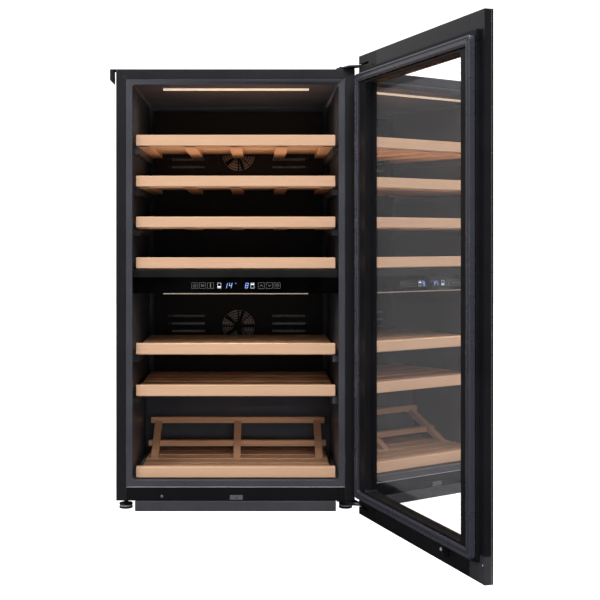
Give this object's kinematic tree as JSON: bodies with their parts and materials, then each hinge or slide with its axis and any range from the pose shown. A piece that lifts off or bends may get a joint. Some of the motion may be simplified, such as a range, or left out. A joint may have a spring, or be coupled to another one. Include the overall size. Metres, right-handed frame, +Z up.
{
  "type": "wine cooler",
  "caption": "Built-in two-zone wine cooler in black, with a tinted glass door on right-hand hinges, shown open, and beech shelves that slide out.",
  "frame": {"origin": "on the floor, on the cabinet's centre line, in the plane of its front, at the plinth's underside", "axes": "+Z up, +Y from the front to the back, +X to the right, the hinge side, as the user stands in front"},
  "size_m": [0.7773, 1.1457, 1.0535],
  "materials": {
    "black_steel": "satin",
    "black_plastic": "matte",
    "liner_plastic": "satin",
    "zinc_steel": "satin",
    "hinge_steel": "satin",
    "plinth_grey": "satin",
    "foam": "matte",
    "door_plastic": "satin",
    "seal_rubber": "satin",
    "tinted_glass": "polished",
    "spacer_black": "matte",
    "panel_glass": "polished",
    "circuit_green": "matte",
    "light_white": "matte",
    "beech": "satin",
    "beech_rack": "satin",
    "aluminium": "satin",
    "compressor_black": "satin",
    "rubber": "matte"
  },
  "bodies": {
    "cabinet": {"side_panel_left": "black_steel", "side_panel_right": "black_steel", "top_panel": "black_steel", "bottom_front_panel": "black_steel", "back_panel": "zinc_steel", "base_pan": "zinc_steel", "bay_fan_frame": "zinc_steel", "hinge_plate_top": "hinge_steel", "hinge_plate_bottom": "hinge_steel", "fixing_plate": "hinge_steel", "plinth": "plinth_grey", "insulation": "foam", "inner_liner": "liner_plastic", "control_panel": "panel_glass", "control_board": "circuit_green", "light_strip_upper": "light_white", "light_strip_lower": "light_white", "display_front": "beech", "display_rack": "beech_rack", "evaporator_upper": "aluminium", "evaporator_lower": "aluminium", "condenser": "aluminium", "compressor": "compressor_black", "foot_front_left": "rubber", "foot_front_right": "rubber", "foot_rear_left": "rubber", "foot_rear_right": "rubber", "fixing_bracket": "black_plastic", "zone_divider": "black_plastic", "duct_cover_upper": "black_plastic", "duct_cover_lower": "black_plastic", "drip_tray": "black_plastic", "mains_inlet": "black_plastic"},
    "door": {"door_glass": "tinted_glass", "door_frame": "door_plastic", "glazing_spacer": "spacer_black", "inner_pane": "tinted_glass", "inner_frame": "door_plastic", "door_seal": "seal_rubber", "hinge_cap_top": "black_plastic", "hinge_cap_bottom": "black_plastic", "free_cap_top": "black_plastic", "free_cap_bottom": "black_plastic", "door_catch": "black_plastic"},
    "shelf_1": {"shelf_front_1": "beech", "shelf_rack_1": "beech_rack"},
    "shelf_2": {"shelf_front_2": "beech", "shelf_rack_2": "beech_rack"},
    "shelf_3": {"shelf_front_3": "beech", "shelf_rack_3": "beech_rack"},
    "shelf_4": {"shelf_front_4": "beech", "shelf_rack_4": "beech_rack"},
    "shelf_5": {"shelf_front_5": "beech", "shelf_rack_5": "beech_rack"},
    "shelf_6": {"shelf_front_6": "beech", "shelf_rack_6": "beech_rack"},
    "fan_upper": {"fan_upper": "black_plastic"},
    "fan_lower": {"fan_lower": "black_plastic"},
    "bay_fan": {"bay_fan": "black_plastic"}
  },
  "joints": [
    {"name": "door_hinge", "type": "hinge", "parent": "cabinet", "child": "door", "pos_m": [0.2958, -0.0326, 0.5], "axis": [0, 0, 1], "range_deg": [-107.7, 7.3]},
    {"name": "shelf_1_slide", "type": "slide", "parent": "cabinet", "child": "shelf_1", "axis": [0, -1, 0], "range_m": [0, 0.18]},
    {"name": "shelf_2_slide", "type": "slide", "parent": "cabinet", "child": "shelf_2", "axis": [0, -1, 0], "range_m": [0, 0.18]},
    {"name": "shelf_3_slide", "type": "slide", "parent": "cabinet", "child": "shelf_3", "axis": [0, -1, 0], "range_m": [0, 0.18]},
    {"name": "shelf_4_slide", "type": "slide", "parent": "cabinet", "child": "shelf_4", "axis": [0, -1, 0], "range_m": [0, 0.18]},
    {"name": "shelf_5_slide", "type": "slide", "parent": "cabinet", "child": "shelf_5", "axis": [0, -1, 0], "range_m": [0, 0.18]},
    {"name": "shelf_6_slide", "type": "slide", "parent": "cabinet", "child": "shelf_6", "axis": [0, -1, 0], "range_m": [0, 0.18]},
    {"name": "fan_upper_spin", "type": "hinge", "parent": "cabinet", "child": "fan_upper", "pos_m": [0, 0.427, 0.86], "axis": [0, 1, 0], "continuous": true},
    {"name": "fan_lower_spin", "type": "hinge", "parent": "cabinet", "child": "fan_lower", "pos_m": [0, 0.427, 0.4], "axis": [0, 1, 0], "continuous": true},
    {"name": "bay_fan_spin", "type": "hinge", "parent": "cabinet", "child": "bay_fan", "pos_m": [-0.042, 0.46, 0.092], "axis": [1, 0, 0], "continuous": true}
  ]
}
